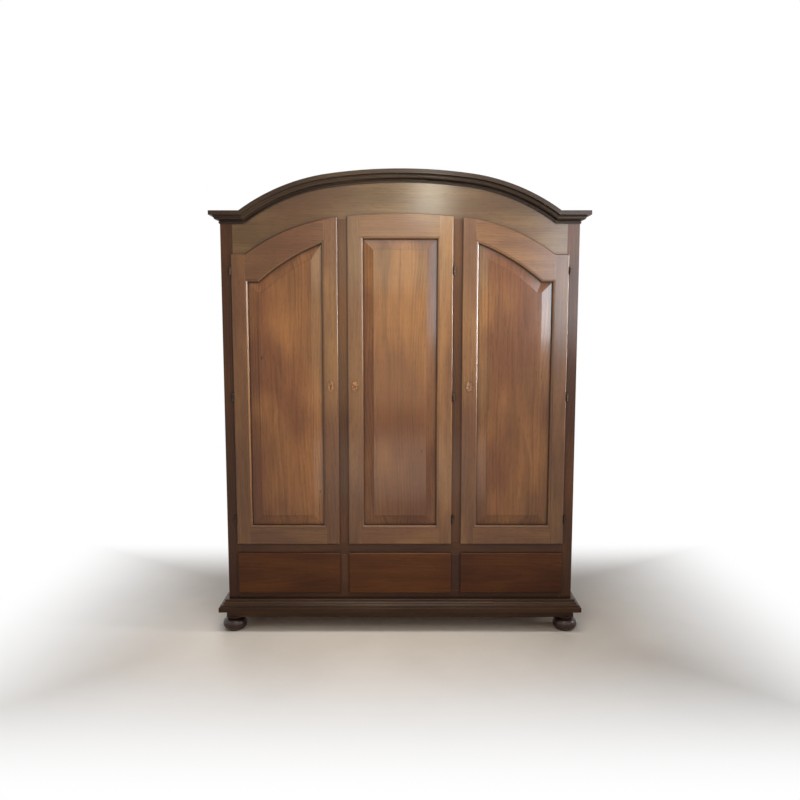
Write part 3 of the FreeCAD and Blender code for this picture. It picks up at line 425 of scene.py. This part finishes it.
front_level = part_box("frieze_board")[0].y
for number, name in enumerate(DOOR_NAMES, 1):
    door = f"door_{name}_"
    low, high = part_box(door + "panel")
    width = high.x - low.x
    dress(door + "panel", wood(door + "panel", "panel", "Z", number + PANEL_SEED, low.x, width,
                               low.y, KNOTS[name]))
    dress(door + "stiles", wood(door + "stiles", "frame", "Z", number + STILE_SEED, low.x,
                                width / 2, low.y))
    dress(door + "rails", wood(door + "rails", "frame", "X", number + RAIL_SEED, level=low.y))
    dress(door + "key_plate", BRASS)
    for part in ("hinges", "bolt", "lock_case"):
        dress(door + part, STEEL)
    drawer = f"drawer_{name}_"
    dress(drawer + "front", wood(drawer + "front", "drawer", "X", number + FRONT_SEED,
                                 FRONT_START, FRONT_PLANK, front_level))
    dress(drawer + "box", wood(drawer + "box", "inner", "Y", number + BOX_SEED))

board_seed = len(DOOR_NAMES) + 1
low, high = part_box("back_boards")
dress("back_boards", wood("back_boards", "inner", "Z", board_seed, low.x,
                          (high.x - low.x) / BACK_BOARD_COUNT, high.y))
for seed, (node, kind, along) in enumerate(BOARDS, board_seed):
    dress(node, wood(node, kind, along, seed, level=front_level))
dress("frame_hinges", STEEL)
for node in ("hanging_rail", "rail_sockets"):
    dress(node, RAIL)

# Floor, light and camera

FLOOR_HALF = 12.0
FLOOR_LIGHT = linear(224, 217, 211)
FLOOR_SHADE = linear(213, 205, 198)
FLOOR_ROUGHNESS = 0.55
CLOUD_WAVES = (1.5, 1.5, 1.5)
CLOUD_DETAIL = 4
# How far from the wardrobe the floor starts to turn white and is white, and how many times as
# fast it does so behind the wardrobe
FADE_START = 0.05
FADE_END = 1.3
REAR_FADE = 1.5
SURROUND_LEVEL = 0.08


def floor():
    """A pale floor that turns to plain white, for the camera alone, where it leads away."""
    mesh = bpy.data.meshes.new("floor")
    corners = [(across * FLOOR_HALF, deep * FLOOR_HALF, 0)
               for across, deep in ((-1, -1), (1, -1), (1, 1), (-1, 1))]
    mesh.from_pydata(corners, [], [(0, 1, 2, 3)])
    item = bpy.data.objects.new("floor", mesh)
    bpy.context.scene.collection.objects.link(item)
    material, t, shader = new_material("floor")
    place = t.add("ShaderNodeTexCoord", output="Object")
    cloud = t.span(t.noise(place, CLOUD_WAVES, CLOUD_DETAIL), *BANDS["floor_cloud"])
    t.feed(shader, {"Base Color": t.blend(cloud, FLOOR_LIGHT, FLOOR_SHADE),
                    "Roughness": FLOOR_ROUGHNESS})
    across, deep, _ = t.parts(place)
    (_, front, _), (right, back, _) = cad_box
    away = t.math("MAXIMUM", t.math("SUBTRACT", t.math("ABSOLUTE", across), right),
                  t.math("SUBTRACT", front, deep))
    behind = t.math("MULTIPLY", t.math("SUBTRACT", deep, back), REAR_FADE)
    away = t.math("MAXIMUM", away, behind)
    share = t.math("MULTIPLY", t.span(away, FADE_START, FADE_END), t.seen())
    white = t.add("ShaderNodeEmission", {"Color": WHITE, "Strength": 1.0})
    mix = t.add("ShaderNodeMixShader", {0: share, 1: shader.outputs[0], 2: white})
    t.tree.links.new(mix, material.node_tree.nodes["Material Output"].inputs[0])
    mesh.materials.append(material)


def softbox(name, place, target, width, height, power, spread, colour):
    """A soft rectangular lamp aimed at a point, unseen by the camera itself."""
    lamp = bpy.data.lights.new(name, "AREA")
    lamp.shape = "RECTANGLE"
    lamp.size = width
    lamp.size_y = height
    lamp.energy = power
    lamp.spread = math.radians(spread)
    lamp.color = colour
    item = bpy.data.objects.new(name, lamp)
    item.location = place
    item.rotation_euler = (Vector(target) - Vector(place)).to_track_quat("-Z", "Y").to_euler()
    item.visible_camera = False
    bpy.context.scene.collection.objects.link(item)


def surroundings(level):
    """An even grey light from all round, and white where the camera sees past the floor."""
    world = bpy.data.worlds.new("studio")
    bpy.context.scene.world = world
    world.use_nodes = True
    t = Tree(world.node_tree)
    even = t.add("ShaderNodeBackground", {"Color": WHITE, "Strength": level})
    white = t.add("ShaderNodeBackground", {"Color": WHITE, "Strength": 1.0})
    mix = t.add("ShaderNodeMixShader", {0: t.seen(), 1: even, 2: white})
    t.tree.links.new(mix, world.node_tree.nodes["World Output"].inputs[0])


# Where each lamp stands and aims, its width, height, power, spread in degrees and colour
LAMPS = (
    ("front_window", (1.88, -3.3, 1.95), (0.4, -0.3, 1.9), 1.2, 1.2, 9, 60, (0.78, 0.9, 1.0)),
    ("side_window", (3.1, -2.0, 2.35), (-0.5, -0.3, 2.05), 0.7, 1.8, 8.5, 60, (1.0, 0.97, 0.91)),
    ("raking_window", (3.4, -0.68, 1.9), (-0.3, -0.35, 1.75), 0.4, 1.8, 24, 60,
     (1.0, 0.97, 0.93)),
    ("ceiling", (0.2, -2.5, 3.2), (0.0, -0.3, 1.6), 1.8, 1.2, 10.5, 120, (1.0, 0.95, 0.84)),
    ("overhead", (0.0, -1.0, 3.4), (0.0, -0.35, 0.2), 1.6, 0.5, 5.5, 60, (1.0, 0.97, 0.9)),
    ("near_top", (-0.05, -2.4, 2.07), (0.0, -0.3, 1.9), 0.85, 0.6, 2.5, 110, (1.0, 0.9, 0.6)),
    ("glint", (0.24, -2.68, 2.53), (0.15, -0.28, 2.14), 0.2, 0.36, 0.75, 60, (1.0, 0.96, 0.82)),
    ("near_mid", (-0.2, -2.6, 1.3), (-0.15, -0.3, 1.3), 0.95, 0.9, 3.4, 110, (1.0, 0.62, 0.28)),
    ("near_low", (0.0, -2.8, 0.32), (0.0, -0.3, 0.8), 1.0, 0.5, 1.4, 110, (1.0, 0.8, 0.6)),
    ("left_wall", (-3.4, -1.6, 1.8), (-0.5, -0.1, 1.2), 1.8, 1.8, 8.5, 180, (1.0, 0.95, 0.88)),
    ("rear", (-1.2, 3.6, 3.6), (0, 0.3, 1.2), 2.4, 1.8, 50, 180, (1.0, 1.0, 1.0)),
)
floor()
for row in LAMPS:
    softbox(*row)
surroundings(SURROUND_LEVEL)

# The camera's focal length as a share of its sensor's width, its distance ahead of the frieze,
# its height and how far it looks down
FOCAL_SHARE = 750 / 800
CAMERA_AHEAD = 3.6095
CAMERA_HEIGHT = 1.5515
CAMERA_DIP = math.radians(6.245)
SENSOR_WIDTH = 36
camera_data = bpy.data.cameras.new("camera")
camera_data.sensor_width = SENSOR_WIDTH
camera_data.lens = FOCAL_SHARE * SENSOR_WIDTH
camera = bpy.data.objects.new("camera", camera_data)
camera.location = (0, front_level - CAMERA_AHEAD, CAMERA_HEIGHT)
camera.rotation_euler = (math.pi / 2 - CAMERA_DIP, 0, 0)
bpy.context.scene.collection.objects.link(camera)
bpy.context.scene.camera = camera
bpy.context.scene.view_settings.view_transform = "Standard"
